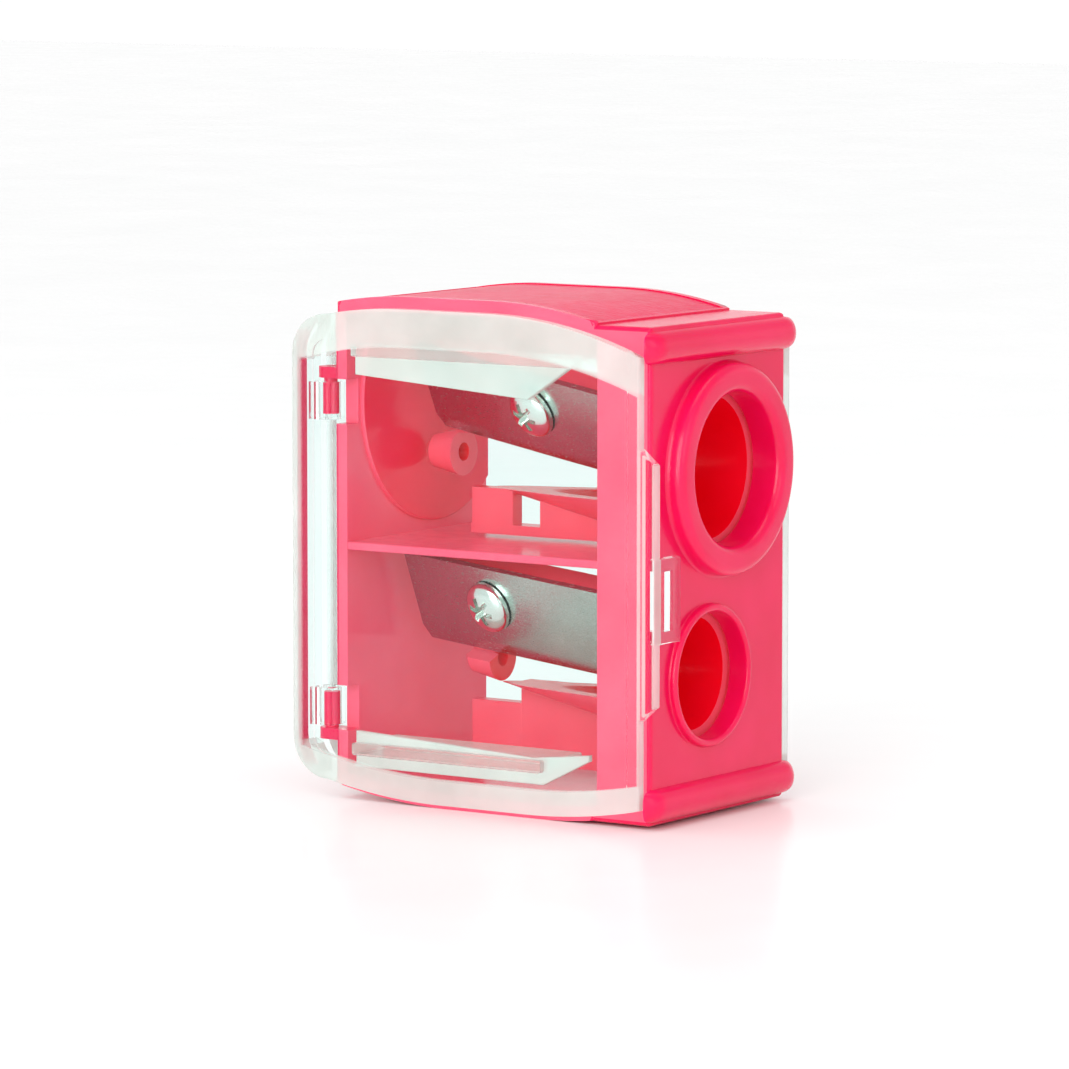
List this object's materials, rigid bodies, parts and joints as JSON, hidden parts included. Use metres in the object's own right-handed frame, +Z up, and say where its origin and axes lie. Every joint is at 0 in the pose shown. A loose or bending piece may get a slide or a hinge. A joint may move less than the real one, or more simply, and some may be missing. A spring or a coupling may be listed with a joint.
{
  "type": "pencil sharpener",
  "caption": "Cosmetic pencil sharpener with a thick and a thin pencil hole, steel blades and a shavings case with a clear hinged window.",
  "frame": {"origin": "centre of the bounding box on the plane the case rests on", "axes": "+X along the pencils towards the mouths, -Y towards the hinged window door, +Z up"},
  "size_m": [0.0349, 0.022, 0.0406],
  "materials": {
    "pink_body": "glossy moulded plastic, slightly translucent hot pink, fine texture on the top and bottom",
    "pink_core": "glossy moulded plastic, slightly translucent pink",
    "blade_steel": "ground blade steel with a honed bevel",
    "screw_steel": "bright plated steel",
    "clear_cover": "clear polystyrene with a faint mint tint, polished"
  },
  "bodies": {
    "body": {"body_frame": "pink_body", "large_sharpener_core": "pink_core", "small_sharpener_core": "pink_core", "large_blade": "blade_steel", "small_blade": "blade_steel", "large_blade_screw": "screw_steel", "small_blade_screw": "screw_steel", "rear_cover": "clear_cover"},
    "door": {"window_door": "clear_cover"}
  },
  "joints": [
    {"name": "door_hinge", "type": "hinge", "parent": "body", "child": "door", "pos_m": [-0.0152, -0.0086, 0.0197], "axis": [0, 0, 1], "range_deg": [-90, 0]}
  ]
}
